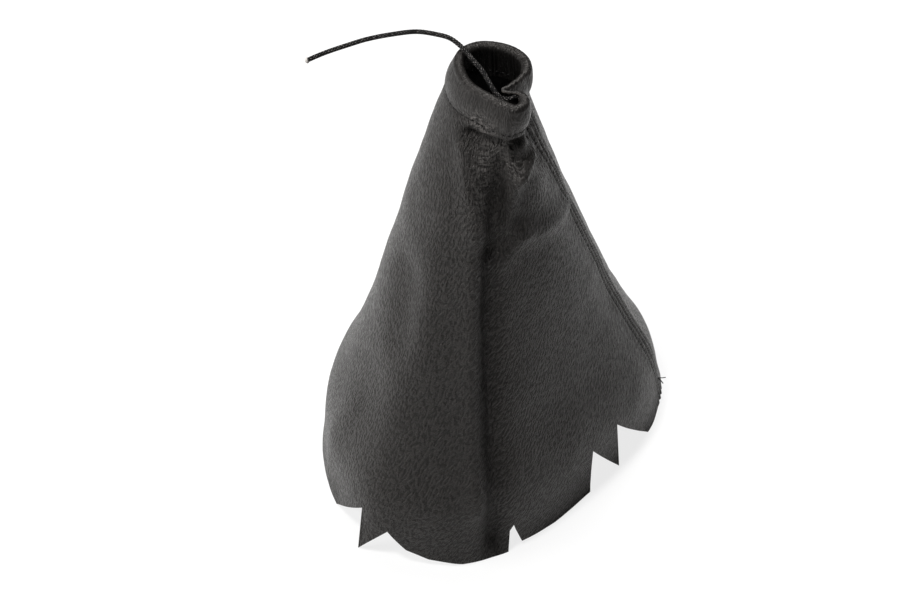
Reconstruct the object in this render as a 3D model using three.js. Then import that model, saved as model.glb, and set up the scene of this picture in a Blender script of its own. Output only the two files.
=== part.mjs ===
// Gear lever gaiter: one soft leather wrap closed by a side seam, with a turned-in drawstring casing
// round its neck and a notched lower edge, and the braided drawstring that comes out of the casing.
// Millimetres, +Z up. The gaiter stands on Z = 0 with its front fold towards -Y.
import * as THREE from 'three';

// Driving dimensions
const gaiterHeight = 280;
const shoulderHeight = 222;
const leatherThickness = 1;
const baseWidth = 188;
const baseDepth = 189;
const bellyDepth = 6;
const bellyHeight = 42;
const bellySpread = 32;

// Drawstring and its casing
const cordDiameter = 2.4;
const cordClearance = 0.5;
const casingHeight = 17;
const casingFlare = 5.5;
const hemEdge = 3;
const layerGap = 0.3;
const tailGap = 0.45;

// Side seam: both edges are turned back on the inside
const seamStation = 3.75;
const seamAllowance = 9;
const seamTopGap = 6;

// Cut lower edge as [distance along the face from its notched corner, height], to the right and left of it
const rightCut = [[0, 14.3], [4, 3], [25, 0], [53, 0], [57.5, 35], [78, 0], [81.5, 38], [108, 0]];
const leftCut = [
  [0, 14.3], [2, 20], [4.2, 16], [4.8, 0], [32, 1], [50, 5], [61, 11], [71, 23], [86.5, 0],
  [87.5, 30], [118, 0],
];

// Mesh density
const coarseStep = 0.2;
const fineStep = 0.1;
const columnSpacing = 0.4;
const bodyRows = 11;
const rowGap = 0.4;
const neckRows = 4;
const rimSteps = 6;
const cordSides = 8;
const loopSteps = 56;
const tailSteps = 44;

// Outlines are closed curves seen from above, walked from the front fold towards +X in sixteen stations.
// Stations 0, 4, 8 and 12 are the front corner, the side seam, the rear corner and the plain corner.
const stations = 16;
const cornerStations = [0, 8];

const baseOutline = [
  [12, -78], [43, -51], [69, -24], [90, 6], [95, 44], [76, 76], [46, 94], [10, 100],
  [-26, 94], [-56, 76], [-76, 50], [-89, 22], [-93, -8], [-85, -47], [-67, -81], [-24, -89],
];

const shoulderOutline = [
  [2, -28], [11, -27], [19, -20], [23, -8], [25, 5], [23, 19], [15, 30], [2, 35],
  [-12, 35], [-24, 29], [-32, 19], [-36, 8], [-36, -5], [-31, -17], [-22, -26], [-9, -31],
];

// Crest of the rim as [station, x, y]: stations 1 to 3.5 are the hooked lobe and the inward pleat
const neckOutline = [
  [0, 3, -23], [0.6, 8, -25.2], [1.2, 11.9, -22.2], [1.7, 11.7, -18.1], [2.1, 8.9, -15.9],
  [2.4, 5.6, -15.8], [2.7, 2, -14.6], [3, 4.7, -11.8], [3.3, 7.7, -9], [3.6, 10.7, -5.6],
  [4.2, 13.4, 0.6], [5.1, 12.6, 7], [6.1, 8.2, 12.5], [7.1, 1.5, 16], [8.6, -8, 17],
  [10, -15, 13.5], [11.2, -18, 7], [12.5, -17, -1.5], [13.9, -13, -10], [15.1, -5, -17.2],
];

// Soft folds of the wall: each runs from one [station, height] to another, out where height is positive.
// They fade out over this height below the casing's stitch row.
const foldFade = 8;
const folds = [
  { name: 'front ridge', from: [-0.85, 205], to: [-0.6, 40], height: 3, width: 7 },
  { name: 'front crease', from: [-0.5, 192], to: [-0.35, 10], height: -4.5, width: 6.5 },
  { name: 'ridge beside the lobe', from: [2.4, 246], to: [0.8, 237], height: 3.5, width: 4.5 },
  { name: 'ridge below the lobe', from: [0.8, 237], to: [0.1, 206], height: 4, width: 5 },
  { name: 'tuck under the casing', from: [-1.5, 255], to: [1.3, 257], height: -4.5, width: 4 },
  { name: 'valley below the casing', from: [0.1, 244], to: [-0.45, 204], height: -3.2, width: 8 },
  { name: 'left ridge of the neck', from: [-1.7, 248], to: [-0.9, 205], height: 2.5, width: 5 },
  { name: 'slanting ridge', from: [3.2, 190], to: [0.8, 200], height: 2.5, width: 6 },
  { name: 'slanting ridge, lower end', from: [0.8, 200], to: [-0.2, 185], height: 2.5, width: 6 },
  { name: 'left dimple', from: [-2.9, 165], to: [-2.5, 130], height: -3, width: 12 },
  { name: 'plain corner', from: [-3.2, 70], to: [-3.4, 20], height: 1.5, width: 9 },
];

// Free end of the drawstring, from inside the casing out over the rim
const tailRoute = [
  [7.1, -16.9, 277.3], [5.3, -17.4, 277.1], [3.6, -17.5, 277], [2, -17.1, 277],
  [0.8, -16.3, 277.1], [-0.5, -14.9, 277.5], [-1.6, -13.2, 278], [-2.9, -11, 278.6],
  [-4.3, -8.4, 279.4], [-7.4, -2.5, 280.9], [-11.8, 4.5, 281.3], [-16.5, 11.5, 282.1],
  [-22.1, 17, 282.7], [-28.7, 20.5, 282], [-37.6, 23, 281.3], [-49, 25.5, 277.4],
  [-61.4, 27, 272.8], [-71.1, 27.5, 268.4], [-82.3, 27.5, 263.3], [-91.6, 27, 258.5],
];

// Heights and radii that follow from the driving dimensions: the rim is round over the cord, flat without it
const stitchHeight = gaiterHeight - casingHeight;
const pinchOffset = leatherThickness / 2 + layerGap / 2;
const flatRimRadius = leatherThickness / 2 + 2 * layerGap;
const cordRimRadius = leatherThickness / 2 + cordDiameter / 2 + cordClearance;
const cordHeight = gaiterHeight - leatherThickness / 2 - cordRimRadius;

// The casing holds the cord from the seam round to the pleat, where the cord comes out through a gap
// in the hem; past that the rim is folded flat
const loopStart = seamStation + 0.35;
const loopEnd = stations + 2;
const roundRimEnd = 2.4;
const hemGapStart = 1.95;
const hemGapEnd = 2.9;
const hemTaper = 0.5;
const rimTaper = 0.35;
const openTurn = THREE.MathUtils.degToRad(100);
const openStep = THREE.MathUtils.degToRad(8);
// Small steps, in stations and millimetres, for reading a direction off a surface
const ringProbe = 0.02;
const wallProbe = 0.05;
const rimProbe = 0.1;
const heightProbe = 1;

const stitchShare = (cordHeight - stitchHeight) / (cordHeight - stitchHeight + hemEdge);

function fitOutline(points, width, depth) {
  const xs = points.map((p) => p[0]);
  const ys = points.map((p) => p[1]);
  const scaleX = width / (Math.max(...xs) - Math.min(...xs));
  const scaleY = depth / (Math.max(...ys) - Math.min(...ys));
  return points.map(([x, y]) => new THREE.Vector3(x * scaleX, y * scaleY, 0));
}

function closedCurve(points) {
  return new THREE.CatmullRomCurve3(points, true, 'centripetal');
}

function wrapStation(k) {
  return ((k % stations) + stations) % stations;
}

const baseCurve = closedCurve(fitOutline(baseOutline, baseWidth, baseDepth));
const shoulderCurve = closedCurve(shoulderOutline.map(([x, y]) => new THREE.Vector3(x, y, 0)));
const neckCurve = closedCurve(neckOutline.map(([, x, y]) => new THREE.Vector3(x, y, 0)));

// Point of the rim's crest at a station, whose spacing along the outline is uneven
function neckPoint(k) {
  const station = wrapStation(k);
  const count = neckOutline.length;
  let i = count - 1;
  while (neckOutline[i][0] > station) i -= 1;
  const start = neckOutline[i][0];
  const end = i + 1 < count ? neckOutline[i + 1][0] : stations;
  return neckCurve.getPoint((i + (station - start) / (end - start)) / count);
}

function ringPoint(curve, k) {
  return curve.getPoint(wrapStation(k) / stations);
}

// Outward direction seen from above, from two neighbouring points of a ring
function outwardAt(pointAt, k) {
  const along = pointAt(k + ringProbe).sub(pointAt(k - ringProbe));
  return new THREE.Vector3(along.y, -along.x, 0).normalize();
}

function smooth(t) {
  const c = Math.min(Math.max(t, 0), 1);
  return c * c * (3 - 2 * c);
}

// Shortest signed way round from one station to another
function stationsBetween(from, to) {
  return wrapStation(to - from + stations / 2) - stations / 2;
}

const baseStationLength = baseCurve.getLength() / stations;
const shoulderStationLength = shoulderCurve.getLength() / stations;

function stationLength(z) {
  const share = Math.min(z / shoulderHeight, 1);
  return THREE.MathUtils.lerp(baseStationLength, shoulderStationLength, share);
}

function foldHeight(k, z) {
  let total = 0;
  for (const fold of folds) {
    const [k0, z0] = fold.from;
    const [k1, z1] = fold.to;
    const scale = stationLength(z);
    const across = (k1 - k0) * scale;
    const down = z1 - z0;
    const x = stationsBetween(k0, k) * scale;
    const share = (x * across + (z - z0) * down) / (across * across + down * down);
    const along = Math.min(Math.max(share, 0), 1);
    const distance = Math.hypot(x - along * across, z - z0 - along * down);
    total += fold.height * Math.exp(-((distance / fold.width) ** 2));
  }
  return total;
}

// The casing stands wider at its stitch row than at its crest, most of all on the left
function flareAt(outward) {
  return casingFlare * Math.max(0, -outward.x);
}

// Middle of the leather between the floor and the casing's stitch row
function smoothWall(k, z) {
  const low = ringPoint(baseCurve, k);
  const mid = ringPoint(shoulderCurve, k);
  if (z <= shoulderHeight) return low.lerp(mid, z / shoulderHeight);
  const outward = outwardAt(neckPoint, k);
  const high = neckPoint(k).addScaledVector(outward, pinchOffset + flareAt(outward));
  return mid.lerp(high, (z - shoulderHeight) / (stitchHeight - shoulderHeight));
}

function wallPoint(k, z) {
  const outward = outwardAt((at) => smoothWall(at, z), k);
  const belly = bellyDepth * Math.exp(-(((z - bellyHeight) / bellySpread) ** 2));
  const fade = smooth((stitchHeight - z) / foldFade);
  const point = smoothWall(k, z).addScaledVector(outward, belly + fade * foldHeight(k, z));
  point.z = z;
  return point;
}

// Length of the quarter of the lower outline that starts at a notched corner and runs up or down
function faceLength(corner, direction) {
  const samples = 24;
  let length = 0;
  let last = ringPoint(baseCurve, corner);
  for (let i = 1; i <= samples; i += 1) {
    const next = ringPoint(baseCurve, corner + (direction * stations / 4) * (i / samples));
    length += next.distanceTo(last);
    last = next;
  }
  return length;
}

const faces = cornerStations.flatMap((corner) => [[1, rightCut], [-1, leftCut]].map(([direction, pattern]) => ({
  corner, direction, length: faceLength(corner, direction), pattern,
})));

function cutHeight(k) {
  const face = faces.find(({ corner, direction }) => {
    const way = direction * stationsBetween(corner, k);
    return way >= 0 && way <= stations / 4;
  });
  const distance = Math.abs(stationsBetween(face.corner, k)) / (stations / 4) * face.length;
  for (let i = 1; i < face.pattern.length; i += 1) {
    const [d0, h0] = face.pattern[i - 1];
    const [d1, h1] = face.pattern[i];
    if (distance <= d1) return THREE.MathUtils.lerp(h0, h1, (distance - d0) / (d1 - d0));
  }
  return 0;
}

// Columns of the wall: an even spacing, finer by the pleat, and one at each corner of the cut edge
function columnStations() {
  const columns = [];
  for (const { corner, direction, length, pattern } of faces) {
    const corners = direction > 0 ? pattern : pattern.slice(1);
    for (const [distance] of corners) {
      columns.push(wrapStation(corner + direction * distance / length * (stations / 4)));
    }
  }
  const fixed = columns.length;
  let k = 0;
  while (k < stations - 1e-9) {
    const step = k < seamStation ? fineStep : coarseStep;
    const near = columns.slice(0, fixed).some((c) => Math.abs(stationsBetween(c, k)) < step * columnSpacing);
    if (!near) columns.push(k);
    k += step;
  }
  return columns.sort((a, b) => a - b);
}

// Radius of the folded rim: round the cord where the casing holds it, flat from the pleat to the seam
function rimRadius(k) {
  const station = wrapStation(k);
  const rise = smooth((station - loopStart) / rimTaper + 1);
  const fall = smooth((roundRimEnd - station) / rimTaper);
  return THREE.MathUtils.lerp(flatRimRadius, cordRimRadius, Math.max(rise, fall));
}

// How much of the hem is there: all of it round the casing, none where the cord comes out
function hemShare(k) {
  const station = wrapStation(k + stations / 2) - stations / 2;
  const leaves = smooth((hemGapStart - station) / hemTaper);
  const returns = smooth((station - hemGapEnd) / hemTaper);
  return Math.max(leaves, returns);
}

// The casing's section: up from the stitch row, over the crest and down inside to the hem's raw edge.
// Where the hem is cut away for the cord, the leather ends just past the crest.
function rimColumn(k) {
  const crest = neckPoint(k);
  const outward = outwardAt(neckPoint, k);
  const radius = rimRadius(k);
  const centre = gaiterHeight - leatherThickness / 2 - radius;
  const hemOffset = flareAt(outward) - pinchOffset;
  const share = hemShare(k);
  const turn = THREE.MathUtils.lerp(openTurn, Math.PI, Math.min(2 * share, 1));
  const drop = Math.max(2 * share - 1, 0) * (centre - stitchHeight + hemEdge);
  const section = [];
  for (let i = 0; i <= rimSteps; i += 1) {
    const angle = turn * i / rimSteps;
    section.push([radius * Math.cos(angle), centre + radius * Math.sin(angle)]);
  }
  for (const part of [stitchShare, 1]) {
    const down = drop * part;
    const inward = Math.min(down / (centre - stitchHeight), 1);
    const angle = turn + openStep * part;
    if (drop > 0) section.push([THREE.MathUtils.lerp(-radius, hemOffset, inward), centre - down]);
    else section.push([radius * Math.cos(angle), centre + radius * Math.sin(angle)]);
  }
  return section.map(([offset, z]) => crest.clone().addScaledVector(outward, offset).setZ(z));
}

// Heights of one column's points on the wall: even, but crowded together where the edge is cut higher
function wallHeights(k) {
  const bottom = cutHeight(k);
  const heights = [];
  for (let i = 0; i < bodyRows; i += 1) {
    heights.push(Math.max(shoulderHeight * i / bodyRows, bottom + rowGap * i));
  }
  for (let i = 0; i <= neckRows; i += 1) {
    heights.push(THREE.MathUtils.lerp(shoulderHeight, stitchHeight, i / neckRows));
  }
  return heights;
}

function wallNormal(k, z) {
  const along = wallPoint(k + wallProbe, z).sub(wallPoint(k - wallProbe, z));
  const up = wallPoint(k, z + heightProbe).sub(wallPoint(k, z - heightProbe));
  return along.cross(up).normalize();
}

// Extra leather on the inside where the seam's edges are turned back
function allowanceAt(k, z) {
  const distance = Math.abs(stationsBetween(seamStation, k)) * stationLength(z);
  const inside = distance < seamAllowance && z < stitchHeight - seamTopGap;
  return inside ? leatherThickness : 0;
}

function closedGrid(sections) {
  const rows = sections[0].length;
  const positions = sections.flat().flatMap((p) => [p.x, p.y, p.z]);
  const index = [];
  sections.forEach((_, i) => {
    const next = (i + 1) % sections.length;
    for (let j = 0; j < rows; j += 1) {
      const up = (j + 1) % rows;
      const a = i * rows + j;
      const b = next * rows + j;
      const c = next * rows + up;
      const d = i * rows + up;
      index.push(a, b, c, a, c, d);
    }
  });
  const geometry = new THREE.BufferGeometry();
  geometry.setAttribute('position', new THREE.Float32BufferAttribute(positions, 3));
  geometry.setIndex(index);
  geometry.computeVertexNormals();
  return geometry;
}

// Outer and inner face of one column, from the cut edge over the rim to the end of the hem
function leatherSection(k) {
  const outer = [];
  const inner = [];
  const addLayers = (point, normal, extra) => {
    outer.push(point.clone().addScaledVector(normal, leatherThickness / 2));
    inner.push(point.clone().addScaledVector(normal, -leatherThickness / 2 - extra));
  };
  wallHeights(k).forEach((z, j) => {
    const normal = wallNormal(k, z);
    if (j === 0) normal.setZ(0).normalize();
    addLayers(wallPoint(k, z), normal, allowanceAt(k, z));
  });
  const before = rimColumn(k - rimProbe);
  const after = rimColumn(k + rimProbe);
  const rim = rimColumn(k);
  rim.forEach((point, j) => {
    const along = after[j].clone().sub(before[j]);
    const up = rim[Math.min(j + 1, rim.length - 1)].clone().sub(rim[Math.max(j - 1, 0)]);
    addLayers(point, along.cross(up).normalize(), 0);
  });
  return [...outer, ...inner.reverse()];
}

function cordSection() {
  const radius = cordDiameter / 2;
  const section = new THREE.Shape();
  for (let i = 0; i < cordSides; i += 1) {
    const angle = 2 * Math.PI * i / cordSides;
    const x = radius * Math.cos(angle);
    const y = radius * Math.sin(angle);
    if (i === 0) section.moveTo(x, y);
    else section.lineTo(x, y);
  }
  section.closePath();
  return section;
}

function cordGeometry(points, steps) {
  const path = new THREE.CatmullRomCurve3(points, false, 'centripetal');
  return new THREE.ExtrudeGeometry(cordSection(), { steps, extrudePath: path });
}

const leatherMaterial = new THREE.MeshStandardMaterial({ color: 0x35322f, roughness: 0.55, metalness: 0 });
const cordMaterial = new THREE.MeshStandardMaterial({ color: 0x1e1b1a, roughness: 0.8, metalness: 0 });

function makeSkin() {
  const skin = new THREE.Mesh(closedGrid(columnStations().map(leatherSection)), leatherMaterial);
  skin.name = 'gaiter_skin';
  return skin;
}

// The held part of the drawstring lies at the top of the casing
function makeLoop() {
  const points = [];
  for (let i = 0; i <= loopSteps; i += 1) {
    points.push(neckPoint(THREE.MathUtils.lerp(loopStart, loopEnd, i / loopSteps)).setZ(cordHeight));
  }
  const loop = new THREE.Mesh(cordGeometry(points, loopSteps), cordMaterial);
  loop.name = 'drawstring_loop';
  return loop;
}

function makeTail() {
  const start = neckPoint(loopEnd);
  const along = start.clone().sub(neckPoint(loopEnd - rimProbe)).normalize();
  start.addScaledVector(along, tailGap).setZ(cordHeight);
  const straight = start.clone().addScaledVector(along, cordDiameter / 2);
  const points = [start, straight, ...tailRoute.map((point) => new THREE.Vector3(...point))];
  const tail = new THREE.Mesh(cordGeometry(points, tailSteps), cordMaterial);
  tail.name = 'drawstring_tail';
  return tail;
}

const gaiter = new THREE.Group();
const skin = makeSkin();
gaiter.add(skin, makeLoop(), makeTail());

// The origin is the middle of the wrap's footprint
skin.geometry.computeBoundingBox();
const middle = skin.geometry.boundingBox.getCenter(new THREE.Vector3());
gaiter.position.set(-middle.x, -middle.y, 0);

export default gaiter;
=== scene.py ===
import math

import bpy
import numpy as np
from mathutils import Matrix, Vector, noise


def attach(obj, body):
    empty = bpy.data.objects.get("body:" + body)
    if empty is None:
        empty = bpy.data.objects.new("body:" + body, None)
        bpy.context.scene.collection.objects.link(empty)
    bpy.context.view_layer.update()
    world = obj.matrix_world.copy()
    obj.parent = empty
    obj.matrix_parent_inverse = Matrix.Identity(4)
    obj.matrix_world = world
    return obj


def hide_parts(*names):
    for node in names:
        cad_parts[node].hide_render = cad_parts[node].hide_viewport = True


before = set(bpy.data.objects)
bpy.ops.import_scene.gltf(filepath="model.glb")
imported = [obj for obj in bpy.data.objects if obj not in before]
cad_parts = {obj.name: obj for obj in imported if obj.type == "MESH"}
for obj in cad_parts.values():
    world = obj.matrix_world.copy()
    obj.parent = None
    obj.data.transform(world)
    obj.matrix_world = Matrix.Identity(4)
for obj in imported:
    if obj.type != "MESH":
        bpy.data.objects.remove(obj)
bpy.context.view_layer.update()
print("frame loaded")

# Shapes are worked out in millimetres in the leather's own frame; frameShift moves it to the row's frame
mm = 0.001
frameShift = np.array([-1.41618, -5.59228, 0])

view = {
    "lens": 85,
    "sensor": 36,
    "place": (-0.01883, -0.73649, 0.97916),
    "tilt": 40,  # degrees from straight down
}


def makeCamera():
    data = bpy.data.cameras.new("camera")
    data.lens = view["lens"]
    data.sensor_width = view["sensor"]
    data.clip_end = 20
    camera = bpy.data.objects.new("camera", data)
    camera.location = view["place"]
    camera.rotation_euler = (math.radians(view["tilt"]), 0, 0)
    bpy.context.scene.collection.objects.link(camera)
    bpy.context.scene.camera = camera


makeCamera()
print("camera set")


class Wire:
    # a node's output that can stand in a sum
    def __init__(self, finish, socket):
        self.finish = finish
        self.socket = socket

    def maths(self, operation, first, second):
        return self.finish.add("ShaderNodeMath", {"operation": operation}, {0: first, 1: second})

    def __add__(self, other):
        return self.maths("ADD", self, other)

    def __sub__(self, other):
        return self.maths("SUBTRACT", self, other)

    def __rsub__(self, other):
        return self.maths("SUBTRACT", other, self)

    def __mul__(self, other):
        return self.maths("MULTIPLY", self, other)

    __radd__ = __add__
    __rmul__ = __mul__


class Finish:
    # a material whose nodes all come from one method
    def __init__(self, name):
        self.material = bpy.data.materials.new(name)
        self.material.use_nodes = True
        self.tree = self.material.node_tree
        self.surface = self.tree.nodes["Principled BSDF"]

    def add(self, kind, settings, sockets, output=0):
        node = self.tree.nodes.new(kind)
        stops = settings.pop("stops", None)
        for name, value in settings.items():
            setattr(node, name, value)
        if stops:
            ramp = node.color_ramp.elements
            while len(ramp) < len(stops):
                ramp.new(0.5)
            for element, (place, level) in zip(ramp, stops):
                element.position = place
                element.color = (level, level, level, 1)
        for key, value in sockets.items():
            self.feed(node.inputs[key], value)
        return Wire(self, node.outputs[output])

    def feed(self, socket, value):
        if isinstance(value, Wire):
            self.tree.links.new(value.socket, socket)
        else:
            socket.default_value = value

    def attribute(self, name, output="Fac"):
        return self.add("ShaderNodeAttribute", {"attribute_name": name}, {}, output)

    def places(self):
        return self.add("ShaderNodeTexCoord", {}, {}, "Object")

    def stretched(self, places, scale):
        return self.add("ShaderNodeVectorMath", {"operation": "MULTIPLY"}, {0: places, 1: scale})

    def grain(self, places, scale, detail=2, rough=0.5):
        sockets = {"Vector": places, "Scale": scale, "Detail": detail, "Roughness": rough}
        return self.add("ShaderNodeTexNoise", {}, sockets)

    def ramp(self, level, stops):
        return self.add("ShaderNodeValToRGB", {"stops": stops}, {0: level})

    def blended(self, share, low, high):
        return self.add("ShaderNodeMix", {"data_type": "RGBA"}, {0: share, 6: low, 7: high}, 2)

    def drifted(self, places, scale, reach):
        # places pushed about by a soft noise, so that cells lose their regular look
        push = self.add("ShaderNodeTexNoise", {}, {"Vector": places, "Scale": scale, "Detail": 2}, "Color")
        push = self.add("ShaderNodeVectorMath", {"operation": "SUBTRACT"}, {0: push, 1: (0.5, 0.5, 0.5)})
        push = self.add("ShaderNodeVectorMath", {"operation": "SCALE"}, {0: push, "Scale": reach})
        return self.add("ShaderNodeVectorMath", {"operation": "ADD"}, {0: places, 1: push})

    def bumped(self, height, distance, strength=1.0):
        sockets = {"Height": height, "Distance": distance, "Strength": strength}
        self.feed(self.surface.inputs["Normal"], self.add("ShaderNodeBump", {}, sockets))

    def set(self, **values):
        for name, value in values.items():
            self.feed(self.surface.inputs[name.replace("_", " ")], value)


# Outlines of the wrap seen from above, walked in sixteen stations from the front fold towards +X:
# station 4 is the side seam, 8 the rear corner and 12 the plain corner
stations = 16

wrap = {
    "height": 280, "shoulder": 222, "thickness": 1,
    "width": 188, "depth": 189,
    "bellyDepth": 6, "bellyHeight": 42, "bellySpread": 32,
    "probe": 0.02,  # stations to each side over which an outward direction is taken
    "base": [
        (12, -78), (43, -51), (69, -24), (90, 6), (95, 44), (76, 76), (46, 94), (10, 100),
        (-26, 94), (-56, 76), (-76, 50), (-89, 22), (-93, -8), (-85, -47), (-67, -81), (-24, -89),
    ],
    "shoulderOutline": [
        (2, -28), (11, -27), (19, -20), (23, -8), (25, 5), (23, 19), (15, 30), (2, 35),
        (-12, 35), (-24, 29), (-32, 19), (-36, 8), (-36, -5), (-31, -17), (-22, -26), (-9, -31),
    ],
    # crest of the rim as (station, x, y)
    "neck": [
        (0, 3, -23), (0.6, 8, -25.2), (1.2, 11.9, -22.2), (1.7, 11.7, -18.1), (2.1, 8.9, -15.9),
        (2.4, 5.6, -15.8), (2.7, 2, -14.6), (3, 4.7, -11.8), (3.3, 7.7, -9), (3.6, 10.7, -5.6),
        (4.2, 13.4, 0.6), (5.1, 12.6, 7), (6.1, 8.2, 12.5), (7.1, 1.5, 16), (8.6, -8, 17),
        (10, -15, 13.5), (11.2, -18, 7), (12.5, -17, -1.5), (13.9, -13, -10), (15.1, -5, -17.2),
    ],
}

casing = {
    "height": 17, "flare": 5.5, "foldFade": 8, "hemEdge": 3, "layerGap": 0.3,
    "cord": 2.4, "cordRoom": 0.5,
    "holdStart": 4.1, "holdEnd": 18, "roundEnd": 2.4,  # stations where the casing holds the cord
    "gapStart": 1.95, "gapEnd": 2.9, "hemTaper": 0.5, "rimTaper": 0.35,
    "openTurn": math.radians(100), "openStep": math.radians(8),
    "pillow": 1.1, "grooveDepth": 0.3, "grooveWidth": 0.9,
    "plyStart": 0.03, "plyEnd": 0.96,  # shares of the way from the stitch row to the crest
}

# Cut lower edge as (distance along the face from its notched corner, height), to the right and left of it
cut = {
    "corners": (0, 8),
    "patterns": {
        1: [(0, 14.3), (4, 3), (25, 0), (53, 0), (57.5, 35), (78, 0), (81.5, 38), (108, 0)],
        -1: [(0, 14.3), (2, 20), (4.2, 16), (4.8, 0), (32, 1), (50, 5), (61, 11), (71, 23), (86.5, 0),
             (87.5, 30), (118, 0)],
    },
}

seam = {
    "station": 3.56, "footStation": 3.5, "footHeight": 110,
    "allowance": 9, "topGap": 6, "edgeFade": 0.8,
    "rowOffset": 3.2, "rowWidth": 0.55, "rowDepth": 0.5, "lineWidth": 0.45, "lineDepth": 0.9,
    "swell": 0.5, "swellWidth": 1,
    "outerSwell": 0.3, "outerSwellAt": 5, "outerSwellWidth": 1.3, "topFade": 4,
    "stitch": 2.2, "pitch": 3, "thread": 0.9,
    # loose thread ends: height, side of the seam, reach out, drop, curl
    "ends": [(14, 1, 5, 1.8, 1.6), (14, 1, 3.8, 4.2, -0.8)],
}

# Soft folds from one (station, height) to another: (from, to, height, width)
folds = [
    ((-0.85, 205), (-0.6, 40), 3, 7), ((-0.5, 192), (-0.35, 10), -5.8, 5.8),
    ((2.4, 246), (0.8, 237), 3.5, 4.5), ((0.8, 237), (0.1, 206), 4, 5),
    ((-1.5, 255), (1.3, 257), -4.5, 4), ((0.1, 244), (-0.45, 204), -3.2, 8),
    ((-1.7, 248), (-0.9, 205), 2.5, 5),
    ((3.2, 190), (0.8, 200), 2.5, 6), ((0.8, 200), (-0.2, 185), 2.5, 6),
    ((-2.9, 165), (-2.5, 130), -3, 12), ((-3.2, 70), (-3.4, 20), 1.5, 9),
]

stitchHeight = wrap["height"] - casing["height"]
pinch = wrap["thickness"] / 2 + casing["layerGap"] / 2
flatRadius = wrap["thickness"] / 2 + 2 * casing["layerGap"]
cordRadius = wrap["thickness"] / 2 + casing["cord"] / 2 + casing["cordRoom"]
cordHeight = wrap["height"] - wrap["thickness"] / 2 - cordRadius


class Spline:
    # centripetal curve through its points, closed or open
    def __init__(self, points, closed=True):
        p = np.array(points, float)
        self.count = len(p) if closed else len(p) - 1
        if closed:
            a, b, c, d = np.roll(p, 1, 0), p, np.roll(p, -1, 0), np.roll(p, -2, 0)
        else:
            ends = np.vstack([2 * p[0] - p[1], p, 2 * p[-1] - p[-2]])
            a, b, c, d = ends[:-3], ends[1:-2], ends[2:-1], ends[3:]
        ab, bc, cd = (self.span(*pair) for pair in ((a, b), (b, c), (c, d)))
        start = ((b - a) / ab - (c - a) / (ab + bc) + (c - b) / bc) * bc
        end = ((c - b) / bc - (d - b) / (bc + cd) + (d - c) / cd) * bc
        self.terms = (b, start, -3 * b + 3 * c - 2 * start - end, 2 * b - 2 * c + start + end)

    def span(self, a, b):
        return (np.sum((b - a) ** 2, 1) ** 0.25)[:, None]

    def at(self, share):
        place = np.asarray(share, float) * self.count
        i = np.minimum(np.floor(place).astype(int), self.count - 1)
        w = (place - i)[..., None]
        c0, c1, c2, c3 = (term[i] for term in self.terms)
        return c0 + w * (c1 + w * (c2 + w * c3))


def fitted(points, width, depth):
    p = np.array(points, float)
    size = p.max(0) - p.min(0)
    return p * np.array([width, depth]) / size


baseCurve = Spline(fitted(wrap["base"], wrap["width"], wrap["depth"]))
shoulderCurve = Spline(wrap["shoulderOutline"])
neckCurve = Spline([(x, y) for _, x, y in wrap["neck"]])
neckStations = np.array([k for k, _, _ in wrap["neck"]] + [stations])


def basePoint(k):
    return baseCurve.at(np.mod(k, stations) / stations)


def shoulderPoint(k):
    return shoulderCurve.at(np.mod(k, stations) / stations)


def neckPoint(k):
    station = np.mod(k, stations)
    i = np.searchsorted(neckStations, station, side="right") - 1
    share = (station - neckStations[i]) / (neckStations[i + 1] - neckStations[i])
    return neckCurve.at((i + share) / (len(neckStations) - 1))


def outwardAt(pointAt, k):
    along = pointAt(k + wrap["probe"]) - pointAt(k - wrap["probe"])
    outward = np.stack([along[..., 1], -along[..., 0]], -1)
    return outward / np.linalg.norm(outward, axis=-1, keepdims=True)


def smooth(t):
    c = np.clip(t, 0, 1)
    return c * c * (3 - 2 * c)


def mix(a, b, share):
    return a + (b - a) * share


def bell(distance, width):
    return np.exp(-((distance / width) ** 2))


def between(start, end):
    return np.mod(end - start + stations / 2, stations) - stations / 2


def ringLength(curve):
    p = curve.at(np.linspace(0, 1 - 1e-12, 400))
    return np.sum(np.linalg.norm(np.diff(p, axis=0), axis=1))


stationLengths = (ringLength(baseCurve) / stations, ringLength(shoulderCurve) / stations)


def stationLength(z):
    return mix(*stationLengths, np.minimum(z / wrap["shoulder"], 1))


def foldAt(k, z, fold):
    (k0, z0), (k1, z1), height, width = fold
    scale = stationLength(z)
    across = (k1 - k0) * scale
    down = z1 - z0
    x = between(k0, k) * scale
    along = np.clip((x * across + (z - z0) * down) / (across ** 2 + down ** 2), 0, 1)
    return height * bell(np.hypot(x - along * across, z - z0 - along * down), width)


def flareAt(outward):
    return casing["flare"] * np.maximum(0, -outward[..., 0])


def smoothWall(k, z):
    low, mid = basePoint(k), shoulderPoint(k)
    outward = outwardAt(neckPoint, k)
    high = neckPoint(k) + outward * (pinch + flareAt(outward))[..., None]
    lower = mix(low, mid, (z / wrap["shoulder"])[..., None])
    upper = mix(mid, high, ((z - wrap["shoulder"]) / (stitchHeight - wrap["shoulder"]))[..., None])
    return np.where((z <= wrap["shoulder"])[..., None], lower, upper)


def wallPoint(k, z):
    outward = outwardAt(lambda at: smoothWall(at, z), k)
    belly = wrap["bellyDepth"] * bell(z - wrap["bellyHeight"], wrap["bellySpread"])
    fade = smooth((stitchHeight - z) / casing["foldFade"])
    push = belly + fade * sum(foldAt(k, z, fold) for fold in folds)
    flat = smoothWall(k, z) + outward * push[..., None]
    return np.concatenate([flat, z[..., None]], -1)


def faceLength(corner, direction):
    points = basePoint(corner + direction * stations / 4 * np.linspace(0, 1, 25))
    return np.sum(np.linalg.norm(np.diff(points, axis=0), axis=1))


faces = [
    {"corner": corner, "way": way, "length": faceLength(corner, way), "pattern": pattern}
    for corner in cut["corners"] for way, pattern in cut["patterns"].items()
]


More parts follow.
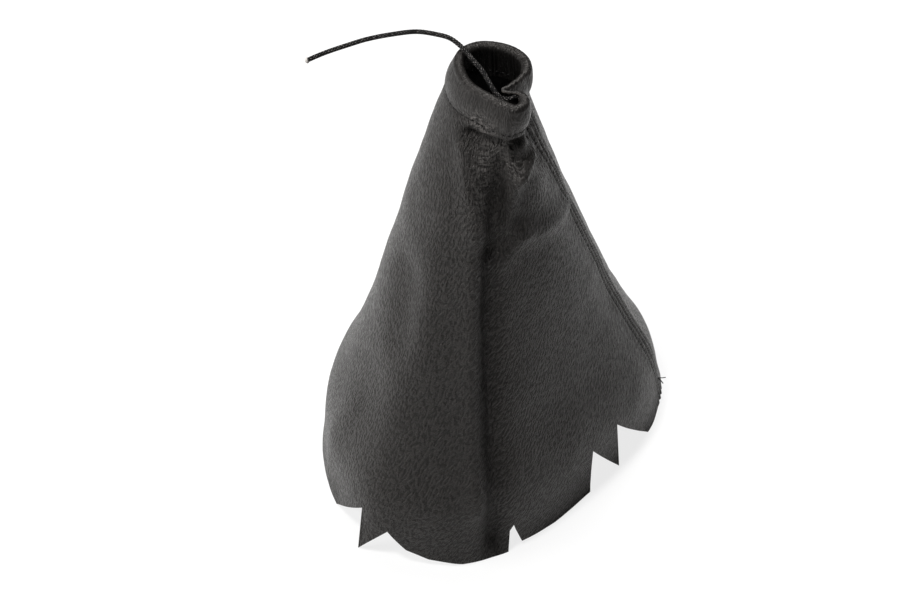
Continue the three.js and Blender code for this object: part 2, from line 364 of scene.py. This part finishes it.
def cutHeight(k):
    for face in faces:
        way = face["way"] * between(face["corner"], k)
        if 0 <= way <= stations / 4:
            distance = way / (stations / 4) * face["length"]
            return np.interp(distance, *zip(*face["pattern"]), right=0)
    return 0


skin = {
    "steps": [(0, 3, 0.042), (3, 4.1, 0.022), (4.1, 16, 0.05)],  # (from, to, step) in stations
    "bodyRows": 50, "rowGap": 0.35, "shoulderRows": 9, "puckerRows": 24, "puckerStart": 241,
    "casingRows": 20, "rimSteps": 10, "hemSteps": 12,
    "cornerRoom": 0.4,  # share of a step that plain columns keep from the cut's corners
    "probe": (0.05, 1),  # stations and millimetres to each side over which a normal is taken
    "grainStation": 9.25,  # stations from the seam to where the grain runs straight up
    "waves": ((34, 0.9), (13, 0.3)), "waveFade": 10,  # size and height of the limp leather's waves
    "calmFade": 5, "sharpAngle": math.radians(62),
}


def columnStations():
    corners = [
        (face["corner"] + face["way"] * distance / face["length"] * stations / 4) % stations
        for face in faces for distance, _ in face["pattern"]
    ]
    corners = sorted(set(round(k, 6) for k in corners))
    columns = list(corners)
    for start, end, step in skin["steps"]:
        count = round((end - start) / step)
        for i in range(count):
            k = start + (end - start) * i / count
            if min(abs(between(k, c)) for c in corners) > step * skin["cornerRoom"]:
                columns.append(k)
    return np.array(sorted(columns))


def rimRadius(k):
    station = np.mod(k, stations)
    rise = smooth((station - casing["holdStart"]) / casing["rimTaper"] + 1)
    fall = smooth((casing["roundEnd"] - station) / casing["rimTaper"])
    return mix(flatRadius, cordRadius, np.maximum(rise, fall))


def hemShare(k):
    station = between(0, k)
    leaves = smooth((casing["gapStart"] - station) / casing["hemTaper"])
    returns = smooth((station - casing["gapEnd"]) / casing["hemTaper"])
    return np.maximum(leaves, returns)


def rimRows(k):
    crest = neckPoint(k)
    outward = outwardAt(neckPoint, k)
    radius = rimRadius(k)
    centre = wrap["height"] - wrap["thickness"] / 2 - radius
    flare = flareAt(outward)
    share = hemShare(k)
    turn = mix(casing["openTurn"], math.pi, np.minimum(2 * share, 1))
    drop = np.maximum(2 * share - 1, 0) * (centre - stitchHeight + casing["hemEdge"])
    rows = []
    for t in np.linspace(casing["plyStart"], casing["plyEnd"], skin["casingRows"]):
        pillow = casing["pillow"] * math.sin(math.pi * t)
        rows.append((mix(pinch + flare, radius, t) + pillow, mix(stitchHeight, centre, t)))
    for i in range(skin["rimSteps"] + 1):
        angle = turn * i / skin["rimSteps"]
        rows.append((radius * np.cos(angle), centre + radius * np.sin(angle)))
    for i in range(1, skin["hemSteps"] + 1):
        part = i / skin["hemSteps"]
        down = drop * part
        inward = np.minimum(down / (centre - stitchHeight), 1)
        angle = turn + casing["openStep"] * part
        hung = drop > 0
        offset = np.where(hung, mix(-radius, flare - pinch, inward), radius * np.cos(angle))
        rows.append((offset, np.where(hung, centre - down, centre + radius * np.sin(angle))))
    points = [np.column_stack([crest + outward * np.reshape(o, (-1, 1)), z + 0 * k]) for o, z in rows]
    return np.stack(points, 1)


def wallHeights(k):
    bottom = np.array([cutHeight(one) for one in k])[:, None]
    rows = np.arange(skin["bodyRows"])[None, :]
    low = np.maximum(wrap["shoulder"] * rows / skin["bodyRows"], bottom + skin["rowGap"] * rows)
    mid = np.linspace(wrap["shoulder"], skin["puckerStart"], skin["shoulderRows"], endpoint=False)
    top = np.linspace(skin["puckerStart"], stitchHeight, skin["puckerRows"])
    upper = np.tile(np.concatenate([mid, top]), (len(k), 1))
    return np.hstack([low, upper])


def gridNormals(grid):
    along = np.roll(grid, -1, 0) - np.roll(grid, 1, 0)
    up = np.empty_like(grid)
    up[:, 1:-1] = grid[:, 2:] - grid[:, :-2]
    up[:, 0] = grid[:, 1] - grid[:, 0]
    up[:, -1] = grid[:, -1] - grid[:, -2]
    normals = np.cross(along, up)
    return normals / np.linalg.norm(normals, axis=-1, keepdims=True)


def softNoise(points, size):
    flat = (points / size).reshape(-1, 3)
    levels = [noise.noise(Vector(p)) for p in flat]
    return np.array(levels).reshape(points.shape[:-1])


def seamAt(z):
    # the sewn line leans a little towards the front in its lower half
    return mix(seam["footStation"], seam["station"], smooth(z / seam["footHeight"]))


def seamDistance(k, z):
    return between(seamAt(z), k) * stationLength(z)


def seamRelief(k, z):
    # the seam line, the topstitch rows sunk beside it and the leather swelling between them
    distance = seamDistance(k, z)
    away = np.abs(distance)
    swell = seam["swell"] * bell(away - seam["rowOffset"] / 2, seam["swellWidth"])
    outer = seam["outerSwell"] * bell(away - seam["outerSwellAt"], seam["outerSwellWidth"])
    rows = seam["rowDepth"] * bell(away - seam["rowOffset"], seam["rowWidth"])
    line = seam["lineDepth"] * bell(distance, seam["lineWidth"])
    return smooth((stitchHeight - z) / seam["topFade"]) * (swell + outer - rows - line)


# Puckers that the drawstring has left about the front corner: on the casing's lower edge, under it and
# beside the crease. Places and sizes are in millimetres across and up
puckers = {
    "station": -0.3,
    "wrinklePitch": 2.7, "beadPitches": (2.6, 3.1), "beadSlants": (0.7, -0.9),
    # sines as (height, turn to the millimetre, shift)
    "wander": [(1.3, 0.55, 0), (0.8, 0.23, 1)], "steady": 0.6, "swells": [(0.4, 1.1, 0)],
    "areas": [
        {"form": "wrinkles", "across": -8, "up": 264, "wide": 9, "tall": 6, "relief": 0.5, "share": 1},
        {"form": "beads", "across": 6, "up": 244, "wide": 12, "tall": 8, "relief": 0.35, "share": 0.7},
        {"form": "wrinkles", "across": -6, "up": 232, "wide": 5, "tall": 22, "relief": 0.25, "share": 0.5},
    ],
}


def waver(x, sines):
    return sum(height * np.sin(x * turn + shift) for height, turn, shift in sines)


def puckerAcross(k, z):
    return between(puckers["station"], k) * stationLength(z)


def puckerArea(area, k, z):
    return bell(puckerAcross(k, z) - area["across"], area["wide"]) * bell(z - area["up"], area["tall"])


def puckerRelief(k, z):
    x = puckerAcross(k, z)
    lines = z + waver(x, puckers["wander"])
    wrinkles = np.sin(lines * 2 * math.pi / puckers["wrinklePitch"])
    wrinkles = wrinkles * (puckers["steady"] + waver(x, puckers["swells"]))
    (pitch, cross), (slant, crossSlant) = puckers["beadPitches"], puckers["beadSlants"]
    beads = np.sin((lines + slant * x) * 2 * math.pi / pitch)
    beads = beads * np.sin((z + crossSlant * x) * 2 * math.pi / cross)
    forms = {"wrinkles": wrinkles, "beads": beads}
    return sum(area["relief"] * puckerArea(area, k, z) * forms[area["form"]] for area in puckers["areas"])


def puckerShare(k, z):
    return np.minimum(sum(area["share"] * puckerArea(area, k, z) for area in puckers["areas"]), 1)


gathers = {
    "pitch": 2.9, "stationLength": 9,
    "wander": [(2.2, 0.31, 0), (1.1, 0.83, 0)], "steady": 0.55, "swells": [(0.45, 0.47, 1)],
    "outer": (0.02, 0.05), "inner": (0.08, 0.42),  # heights up to the crest, and on to the hem's edge
}


def gatherRelief(k, rows):
    # small uneven gathers that the drawstring leaves round the rim, strongest on the turned-in side
    x = np.mod(k, stations) * gathers["stationLength"]
    wave = np.sin(x * 2 * math.pi / gathers["pitch"] + waver(x, gathers["wander"]))
    wave = wave * (gathers["steady"] + waver(x, gathers["swells"]))
    crest = skin["casingRows"] + skin["rimSteps"] // 2
    strength = [np.linspace(*gathers["outer"], crest), np.linspace(*gathers["inner"], rows - crest)]
    return wave[:, None] * np.concatenate(strength)[None, :]


# Lighter (over 0) and darker places on the leather: a dusty band along the seam, darker lines along the
# stitch rows, a painted highlight on the lobe's crest, and painted shade under the casing and along the
# crease
dustAndPaintedLight = {
    "band": 0.35, "bandWidth": 4.6, "rows": -0.9, "rowWidth": 0.5,
    # painted shade down the middle of the crease
    "crease": ((-0.5, 192), (-0.35, 10), -0.3, 4.5),
    # the lobe's crest, with a painted highlight, and the wall under the casing, with painted shade
    "spots": [
        {"station": 1.62, "wide": 0.12, "up": 268, "tall": 11, "level": 1},
        {"station": 0.8, "wide": 1.2, "up": 256, "tall": 3, "level": -0.3},
    ],
}


def dustAndPaintedLightAt(k, z):
    distance = seamDistance(k, z)
    dustAndPaintedLightLevel = dustAndPaintedLight["band"] * bell(distance, dustAndPaintedLight["bandWidth"])
    dustAndPaintedLightLevel = dustAndPaintedLightLevel + dustAndPaintedLight["rows"] * bell(np.abs(distance) - seam["rowOffset"], dustAndPaintedLight["rowWidth"])
    for spot in dustAndPaintedLight["spots"]:
        across = bell(between(spot["station"], k), spot["wide"])
        dustAndPaintedLightLevel = dustAndPaintedLightLevel + spot["level"] * across * bell(z - spot["up"], spot["tall"])
    return dustAndPaintedLightLevel + foldAt(k, z, dustAndPaintedLight["crease"])


def allowance(k, z):
    inside = smooth((seam["allowance"] - np.abs(seamDistance(k, z))) / seam["edgeFade"])
    return wrap["thickness"] * inside * smooth((stitchHeight - seam["topGap"] - z) / seam["edgeFade"])


def waveRelief(points, z):
    # the limp leather's waves, which die out towards the casing
    waves = sum(height * softNoise(points, size) for size, height in skin["waves"])
    return smooth((stitchHeight - z) / skin["waveFade"]) * waves


def stitchGroove(z):
    return casing["grooveDepth"] * bell(z - stitchHeight, casing["grooveWidth"])


def wallNormal(k, z):
    aside, rise = skin["probe"]
    along = wallPoint(k + aside, z) - wallPoint(k - aside, z)
    up = wallPoint(k, z + rise) - wallPoint(k, z - rise)
    normal = np.cross(along, up)
    return normal / np.linalg.norm(normal, axis=-1, keepdims=True)


def skinLayers():
    k = columnStations()
    z = wallHeights(k)
    tall = np.tile(k[:, None], (1, z.shape[1]))
    wall = wallPoint(tall, z)
    rim = rimRows(k)
    grid = np.concatenate([wall, rim], 1)
    normals = np.concatenate([wallNormal(tall, z), gridNormals(rim)], 1)
    normals[:, 0, 2] = 0
    normals /= np.linalg.norm(normals, axis=-1, keepdims=True)
    relief = seamRelief(tall, z) + puckerRelief(tall, z) + waveRelief(wall, z) - stitchGroove(z)
    outerPly = slice(skin["casingRows"])
    plyHeights = rim[:, outerPly, 2]
    rimRelief = gatherRelief(k, rim.shape[1])
    rimRelief[:, outerPly] += puckerRelief(k[:, None], plyHeights) - stitchGroove(plyHeights)
    grid = grid + normals * np.concatenate([relief, rimRelief], 1)[..., None]
    extra = np.concatenate([allowance(tall, z), np.zeros(rim.shape[:2])], 1)
    outer = grid + normals * wrap["thickness"] / 2
    inner = grid - normals * (wrap["thickness"] / 2 + extra)[..., None]
    return k, outer, inner


def newObject(name, points, polygons, materials):
    mesh = bpy.data.meshes.new(name)
    mesh.from_pydata((np.asarray(points) + frameShift) * mm, [], polygons)
    mesh.shade_smooth()
    for material in materials:
        mesh.materials.append(material)
    piece = bpy.data.objects.new(name, mesh)
    bpy.context.scene.collection.objects.link(piece)
    return piece


def closedGrid(sections):
    columns, rows = sections.shape[:2]
    polygons = []
    for i in range(columns):
        near, far = i * rows, (i + 1) % columns * rows
        for j in range(rows):
            up = (j + 1) % rows
            polygons.append((near + j, far + j, far + up, near + up))
    return polygons


leather = {
    # noise scales to the metre, and how the forms are drawn out across and up the leather
    "pebbles": 1000, "pebbleStretch": (1, 0.34, 1), "pores": 2300, "poreStretch": (1, 0.6, 1),
    "wrinkles": 620, "wrinkleStretch": (0.4, 1, 1), "drift": 24,
    "relief": 0.00065,  # metres
    "furrow": (0.001, 0.0009, 0.0008, 1), "pebble": (0.0165, 0.0152, 0.0143, 1),
    # the third colour is a painted highlight's, for glinting puckers and the lobe's crest; sheen tints the
    # real specular
    "paintedHighlight": (0.11, 0.103, 0.098, 1), "sheen": (1, 0.95, 0.91, 1),
}


def leatherFinish():
    # pebbles drawn out along the leather, which the "lay" places follow, with dark furrows between them
    finish = Finish("black_leather")
    lay = finish.attribute("lay", "Vector")
    calm, pucker, dustAndPaintedLightLevel = (finish.attribute(name) for name in ("calm", "pucker", "dustAndPaintedLightLevel"))
    pebbles = finish.stretched(finish.drifted(lay, 60, 0.002), leather["pebbleStretch"])
    pebbles = finish.ramp(finish.grain(pebbles, leather["pebbles"], 1), [(0.4, 0), (0.59, 1)])
    pores = finish.grain(finish.stretched(lay, leather["poreStretch"]), leather["pores"], 1)
    pores = finish.ramp(pores, [(0.35, 0), (0.65, 1)])
    drift = finish.grain(finish.places(), leather["drift"], 3)
    wrinkles = finish.stretched(finish.drifted(lay, 150, 0.004), leather["wrinkleStretch"])
    wrinkles = finish.grain(wrinkles, leather["wrinkles"], 2, 0.6)
    wrinkles = finish.ramp(wrinkles, [(0.42, 0), (0.6, 1)]) * pucker
    depth = 1 - calm * 0.6
    finish.bumped((pebbles * 0.85 + pores * 0.2) * depth + wrinkles * 1.2, leather["relief"])
    # share of the pebble colour: grain, random tone, dust by the seam, painted highlight on the lobe's
    # crest and painted shade under the casing and along the crease
    toneDustAndPaintedLight = pebbles * depth * 0.6 + pores * 0.15 + drift * 0.4 + calm * 0.08 + dustAndPaintedLightLevel - pucker * 0.1 - 0.1
    colour = finish.blended(toneDustAndPaintedLight, leather["furrow"], leather["pebble"])
    # painted highlight: the pucker wrinkles and the lobe's crest drawn towards a light colour in place of
    # glints
    paintedHighlight = wrinkles * 0.9 + finish.ramp(dustAndPaintedLightLevel, [(0.45, 0), (1, 0.8)])
    colour = finish.blended(paintedHighlight, colour, leather["paintedHighlight"])
    finish.set(Base_Color=colour, Roughness=0.5 - pebbles * 0.12)
    finish.set(Specular_IOR_Level=0.24, Specular_Tint=leather["sheen"])
    return finish.material


suede = {
    "nap": 900, "patches": 60, "relief": 0.0006,
    "dark": (0.012, 0.011, 0.0105, 1), "light": (0.04, 0.037, 0.035, 1),
}


def suedeFinish():
    finish = Finish("leather_back")
    places = finish.places()
    nap = finish.grain(places, suede["nap"], 4, 0.7)
    patches = finish.grain(places, suede["patches"], 2)
    finish.bumped(nap, suede["relief"], 0.7)
    colour = finish.blended(nap * 0.6 + patches * 0.4, suede["dark"], suede["light"])
    finish.set(Base_Color=colour, Roughness=0.95, Specular_IOR_Level=0.2)
    return finish.material


rawEdge = {
    "fibres": 2200, "relief": 0.0004,
    "dark": (0.06, 0.052, 0.046, 1), "light": (0.24, 0.21, 0.19, 1),
}


def rawEdgeFinish():
    finish = Finish("raw_leather_edge")
    fibres = finish.grain(finish.places(), rawEdge["fibres"], 4, 0.7)
    finish.bumped(fibres, rawEdge["relief"], 0.8)
    finish.set(Base_Color=finish.blended(fibres, rawEdge["dark"], rawEdge["light"]), Roughness=0.92)
    return finish.material


def layPlaces(k, heights):
    # places on the leather in metres, along and across its grain, for the material's pebbles
    turned = np.mod(k[:, None] - seamAt(heights), stations) - skin["grainStation"]
    across = turned * stationLength(heights) * mm
    return np.stack([across, heights * mm, 0 * across], -1)


def addAttribute(piece, name, values):
    # one value or one vector for each point
    kind, slot = ("FLOAT_VECTOR", "vector") if values.ndim == 3 else ("FLOAT", "value")
    piece.data.attributes.new(name, kind, "POINT").data.foreach_set(slot, values.ravel())


def makeSkin():
    k, outer, inner = skinLayers()
    sections = np.concatenate([outer, inner[:, ::-1]], 1)
    polygons = closedGrid(sections)
    rows = outer.shape[1]
    materials = [leatherFinish(), suedeFinish(), rawEdgeFinish()]
    piece = newObject("leather_wrap", sections.reshape(-1, 3), polygons, materials)
    heights = np.cumsum(np.linalg.norm(np.diff(outer, axis=1, prepend=outer[:, :1]), axis=2), axis=1)
    heights += outer[:, :1, 2]
    column, z = k[:, None], sections[..., 2]
    addAttribute(piece, "lay", layPlaces(k, np.concatenate([heights, heights[:, ::-1]], 1)))
    # lighter and darker levels: dust by the seam, darker stitch rows, painted highlight on the lobe's
    # crest, painted shade under the casing and along the crease
    addAttribute(piece, "dustAndPaintedLightLevel", dustAndPaintedLightAt(column, z))
    addAttribute(piece, "pucker", puckerShare(column, z))
    addAttribute(piece, "calm", smooth((z - stitchHeight) / skin["calmFade"]))
    kinds = np.zeros(2 * rows, int)
    kinds[rows:] = 1
    kinds[rows - 1] = kinds[-1] = 2  # the hem's edge and the cut lower edge
    piece.data.polygons.foreach_set("material_index", np.tile(kinds, len(k)))
    piece.data.set_sharp_from_angle(angle=skin["sharpAngle"])
    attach(piece, "root")
    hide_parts("gaiter_skin")


drawstring = {
    "diameter": 2.4, "sides": 24, "step": 0.2, "strands": 5, "braidPitch": 1.6, "braidDepth": 0.16,
    "tailGap": 0.45, "bead": 1.55, "beadLength": 2.2, "heldPoints": 400, "freePoints": 2000,
    # the free end's route in metres, from inside the casing out over the rim
    "route": [
        (0.0071, -0.0169, 0.2773), (0.0053, -0.0174, 0.2771), (0.0036, -0.0175, 0.2770),
        (0.0020, -0.0171, 0.2770), (0.0008, -0.0163, 0.2771), (-0.0005, -0.0149, 0.2775),
        (-0.0016, -0.0132, 0.2780), (-0.0029, -0.0110, 0.2786), (-0.0043, -0.0084, 0.2794),
        (-0.0074, -0.0025, 0.2809), (-0.0118, 0.0045, 0.2813), (-0.0165, 0.0115, 0.2821),
        (-0.0221, 0.0170, 0.2827), (-0.0287, 0.0205, 0.2820), (-0.0376, 0.0230, 0.2813),
        (-0.0490, 0.0255, 0.2774), (-0.0614, 0.0270, 0.2728), (-0.0711, 0.0275, 0.2684),
        (-0.0823, 0.0275, 0.2633), (-0.0916, 0.0270, 0.2585),
    ],
}


def evenly(points, step):
    lengths = np.concatenate([[0], np.cumsum(np.linalg.norm(np.diff(points, axis=0), axis=1))])
    count = max(2, round(lengths[-1] / step) + 1)
    places = np.linspace(0, lengths[-1], count)
    return np.column_stack([np.interp(places, lengths, points[:, axis]) for axis in range(3)]), places


def tubeFrames(centres):
    # two directions across a path that turn as little as they can
    along = np.gradient(centres, axis=0)
    along /= np.linalg.norm(along, axis=1, keepdims=True)
    side = np.cross(along[0], (0, 0, 1))
    side /= np.linalg.norm(side)
    sides = []
    for direction in along:
        side = side - direction * side.dot(direction)
        side = side / np.linalg.norm(side)
        sides.append(side)
    sides = np.array(sides)
    return sides, np.cross(along, sides)


def tubePolygons(rings, sides):
    polygons = []
    for i in range(rings - 1):
        for j in range(sides):
            far = (j + 1) % sides
            polygons.append((i * sides + j, i * sides + far, (i + 1) * sides + far, (i + 1) * sides + j))
    polygons.append(tuple(range(sides))[::-1])
    polygons.append(tuple((rings - 1) * sides + j for j in range(sides)))
    return polygons


def braidedTube(name, centres, places, material, beadAt=None):
    sides, ups = tubeFrames(centres)
    angles = 2 * math.pi * np.arange(drawstring["sides"]) / drawstring["sides"]
    lattice = np.cos(drawstring["strands"] * angles)[None, :]
    lattice = lattice * np.cos(2 * math.pi * places / drawstring["braidPitch"])[:, None]
    melted = np.zeros(len(places))
    half = drawstring["diameter"] / 2
    radius = half - drawstring["braidDepth"] * (0.5 - 0.5 * lattice)
    if beadAt is not None:
        beadLength = drawstring["beadLength"]
        t = np.clip((places - (beadAt - beadLength)) / beadLength, 0, 1)
        melted = smooth(t * 3)
        beadRadius = drawstring["bead"] * np.sqrt(np.clip(1 - (2 * t - 1) ** 2, 0.02, 1))
        radius = mix(radius, beadRadius[:, None], melted[:, None])
    turns = angles[None, :, None]
    ring = np.cos(turns) * sides[:, None, :] + np.sin(turns) * ups[:, None, :]
    points = centres[:, None, :] + ring * radius[..., None]
    polygons = tubePolygons(len(centres), drawstring["sides"])
    piece = newObject(name, points.reshape(-1, 3), polygons, [material])
    addAttribute(piece, "melted", np.repeat(melted, drawstring["sides"]))
    addAttribute(piece, "crown", 0.5 + 0.5 * lattice + 0 * places[:, None])
    return piece


braid = {
    "fibres": 3800, "paintedGlints": 1300, "relief": 0.0002,
    # the second colour is a painted highlight's, the third the melted tip's own
    "yarn": (0.0006, 0.0005, 0.0005, 1), "paintedGlint": (0.1, 0.094, 0.09, 1), "tip": (0.42, 0.4, 0.38, 1),
}


def braidFinish():
    # near-black yarns, with painted highlights in flecks on their crowns for the light they catch
    finish = Finish("black_braid")
    places = finish.places()
    melted, crown = finish.attribute("melted"), finish.attribute("crown")
    fibres = finish.grain(places, braid["fibres"], 3, 0.6)
    # painted highlight: light flecks on the yarns' crowns stand in for glints
    paintedGlints = finish.grain(places, braid["paintedGlints"], 2) * 0.6 + crown * 0.4
    paintedGlints = finish.ramp(paintedGlints, [(0.59, 0), (0.66, 1)])
    finish.bumped(fibres, braid["relief"], 0.7)
    colour = finish.blended(melted, finish.blended(paintedGlints, braid["yarn"], braid["paintedGlint"]), braid["tip"])
    finish.set(Base_Color=colour, Roughness=0.75 - melted * 0.4, Specular_IOR_Level=0.1)
    return finish.material


def heldCord():
    k = np.linspace(casing["holdStart"], casing["holdEnd"], drawstring["heldPoints"])
    return np.column_stack([neckPoint(k), np.full(len(k), cordHeight)])


def makeDrawstring():
    material = braidFinish()
    held = heldCord()
    along = held[-1] - held[-2]
    along /= np.linalg.norm(along)
    start = held[-1] + along * drawstring["tailGap"]
    straight = start + along * drawstring["diameter"] / 2
    route = [start, straight] + [np.array(point) / mm for point in drawstring["route"]]
    fine = Spline(route, closed=False).at(np.linspace(0, 1, drawstring["freePoints"]))
    centres, places = evenly(fine, drawstring["step"])
    tail = braidedTube("drawstring_free_end", centres, places, material, beadAt=places[-1])
    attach(tail, "root")
    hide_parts("drawstring_tail")
    centres, places = evenly(held, drawstring["step"])
    loop = braidedTube("drawstring_in_casing", centres, places, material)
    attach(loop, "root")
    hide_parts("drawstring_loop")


makeDrawstring()
print("drawstring made")
makeSkin()
print("leather made")


threads = {
    "twist": 4200, "relief": 0.00015,
    "dark": (0.001, 0.001, 0.001, 1), "light": (0.006, 0.0055, 0.005, 1),
    "sides": 6,
    # a stitch as (share of its length, share of its thickness, rise in thicknesses)
    "profile": [(-0.5, 0.35, -0.55), (-0.36, 0.8, -0.2), (0, 1, 0), (0.36, 0.8, -0.2), (0.5, 0.35, -0.55)],
    "lookAhead": 0.5,
    "endRings": 14, "endRoot": 0.1, "endDroop": 1.5, "endSize": 0.3,
    "rowPoints": 260, "rowStart": 2, "rowStop": 4,
    "ringPoints": 900, "ringSink": 0.3, "hemGapBefore": 0.4, "hemGapAfter": 0.6,
}


def threadFinish():
    finish = Finish("black_thread")
    twist = finish.grain(finish.places(), threads["twist"], 2)
    finish.bumped(twist, threads["relief"], 0.6)
    finish.set(Base_Color=finish.blended(twist, threads["dark"], threads["light"]))
    finish.set(Roughness=0.6, Specular_IOR_Level=0.15)
    return finish.material


def stitchAlong(points, normals, length, pitch, thread):
    # spindle-shaped stitches laid end to end on a line; their ends dip into the leather
    steps = np.linalg.norm(np.diff(points, axis=0), axis=1)
    lengths = np.concatenate([[0], np.cumsum(steps)])
    profile, sides = threads["profile"], threads["sides"]
    vertices, polygons = [], []
    for i in range(int(lengths[-1] / pitch)):
        middle = (i + 0.5) * pitch
        centre, ahead, normal = (
            np.array([np.interp(at, lengths, source[:, axis]) for axis in range(3)])
            for at, source in ((middle, points), (middle + threads["lookAhead"], points), (middle, normals))
        )
        along = ahead - centre
        along /= np.linalg.norm(along)
        across = np.cross(along, normal)
        across /= np.linalg.norm(across)
        up = np.cross(across, along)
        first = len(vertices)
        for share, size, rise in profile:
            ringCentre = centre + along * share * length + up * rise * thread
            for j in range(sides):
                turn = 2 * math.pi * j / sides
                spread = across * math.cos(turn) + up * math.sin(turn)
                vertices.append(ringCentre + spread * size * thread / 2)
        polygons += [tuple(first + i for i in polygon) for polygon in tubePolygons(len(profile), sides)]
    return vertices, polygons


def surfaceLine(k, z):
    # points and normals on the leather's outer face along a line of (station, height)
    here = wallPoint(k, z)
    normal = wallNormal(k, z)
    push = wrap["thickness"] / 2 + seamRelief(k, z) + puckerRelief(k, z) + waveRelief(here, z)
    return here + normal * push[..., None], normal


def joined(parts):
    vertices, polygons = [], []
    for partVertices, partPolygons in parts:
        first = len(vertices)
        vertices += list(partVertices)
        polygons += [tuple(i + first for i in polygon) for polygon in partPolygons]
    return vertices, polygons


def addTrim(name, parts, material):
    piece = newObject(name, *joined(parts), [material])
    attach(piece, "root")


def threadEnd(reach):
    # a loose end of the seam's thread, curling away from the leather
    height, side, out, down, curl = reach
    z = np.full(3, float(height))
    k = seamAt(z) + side * seam["rowOffset"] / stationLength(z) + np.array([-0.01, 0, 0.01])
    here, normal = surfaceLine(k, z)
    along = here[2] - here[0]
    along /= np.linalg.norm(along)
    t = np.linspace(0, 1, threads["endRings"])[:, None]
    leaving = normal[1] * (out * t - threads["endRoot"]) + along * curl * t * t
    centres = here[1] + leaving - np.array([0, 0, down]) * t ** threads["endDroop"]
    sides, ups = tubeFrames(centres)
    turns = np.linspace(0, 2 * math.pi, threads["sides"] + 1)[:-1]
    ring = [sides * math.cos(turn) + ups * math.sin(turn) for turn in turns]
    points = centres[:, None, :] + np.stack(ring, 1) * seam["thread"] * threads["endSize"]
    return points.reshape(-1, 3), tubePolygons(len(centres), threads["sides"])


def makeStitches():
    thread = threadFinish()
    sizes = (seam["stitch"], seam["pitch"], seam["thread"])
    rows = []
    for side in (-1, 1):
        z = np.linspace(threads["rowStart"], stitchHeight - threads["rowStop"], threads["rowPoints"])
        k = seamAt(z) + side * seam["rowOffset"] / stationLength(z)
        rows.append(stitchAlong(*surfaceLine(k, z), *sizes))
    rows += [threadEnd(reach) for reach in seam["ends"]]
    addTrim("seam_topstitching", rows, thread)
    k = np.linspace(0, stations, threads["ringPoints"])
    outward = outwardAt(neckPoint, k)
    normals = np.column_stack([outward, np.zeros(len(k))])
    face = 2 * pinch - casing["layerGap"] / 2
    outer = neckPoint(k) + outward * (flareAt(outward) + face - threads["ringSink"])[:, None]
    outer = np.column_stack([outer, np.full(len(k), stitchHeight)])
    inside = neckPoint(k) + outward * (flareAt(outward) - face)[:, None]
    inside = np.column_stack([inside, np.full(len(k), stitchHeight)])
    before = between(0, k) < casing["gapStart"] - threads["hemGapBefore"]
    after = between(0, k) > casing["gapEnd"] + threads["hemGapAfter"]
    hem = before | after
    lines = [stitchAlong(outer, normals, *sizes)]
    for line in np.split(np.arange(len(k)), np.flatnonzero(np.diff(hem.astype(int))) + 1):
        if hem[line[0]] and len(line) > 2:
            lines.append(stitchAlong(inside[line], -normals[line], *sizes))
    addTrim("casing_stitching", lines, thread)


makeStitches()
print("stitches made")

room = {
    "floor": 6, "world": 0.03, "table": (0.86, 0.855, 0.85, 1),
    "glow": 0.12, "glowSeen": 0.68,  # shares of the table's own light: everywhere, and added in view
    "target": (0, 0, 0.12),
}


def floorFinish():
    finish = Finish("white_table")
    tree = finish.tree
    finish.set(Base_Color=room["table"], Roughness=0.8, Specular_IOR_Level=0.2)
    glow = finish.add("ShaderNodeEmission", {}, {"Color": (1, 1, 1, 1), "Strength": 1})
    seen = finish.add("ShaderNodeLightPath", {}, {}, "Is Camera Ray")
    mixed = finish.add("ShaderNodeMixShader", {}, {0: seen * room["glowSeen"] + room["glow"], 2: glow})
    tree.links.new(finish.surface.outputs[0], mixed.socket.node.inputs[1])
    tree.links.new(mixed.socket, tree.nodes["Material Output"].inputs["Surface"])
    return finish.material


def makeRoom():
    half = room["floor"] / 2
    mesh = bpy.data.meshes.new("table")
    corners = [(-half, -half, 0), (half, -half, 0), (half, half, 0), (-half, half, 0)]
    mesh.from_pydata(corners, [], [(0, 1, 2, 3)])
    mesh.materials.append(floorFinish())
    table = bpy.data.objects.new("table", mesh)
    bpy.context.scene.collection.objects.link(table)
    world = bpy.data.worlds.new("studio")
    world.use_nodes = True
    world.node_tree.nodes["Background"].inputs["Color"].default_value = (1, 1, 1, 1)
    world.node_tree.nodes["Background"].inputs["Strength"].default_value = room["world"]
    bpy.context.scene.world = world


lamps = [
    {"name": "window_side", "place": (-1.0, -0.15, 0.5), "size": 0.4, "power": 8.5},
    {"name": "overhead", "place": (0.05, 0.55, 1.15), "size": 0.6, "power": 16},
    {"name": "top_front", "place": (-0.3, -0.2, 1.2), "size": 0.16, "power": 12},
]


def makeLamps():
    target = Vector(room["target"])
    for lamp in lamps:
        data = bpy.data.lights.new(lamp["name"], "AREA")
        data.size = lamp["size"]
        data.energy = lamp["power"]
        light = bpy.data.objects.new(lamp["name"], data)
        light.location = lamp["place"]
        light.rotation_euler = (target - light.location).to_track_quat("-Z", "Y").to_euler()
        bpy.context.scene.collection.objects.link(light)


makeRoom()
makeLamps()
bpy.context.scene.view_settings.view_transform = "Standard"
print("room and lamps set")

bpy.context.view_layer.update()
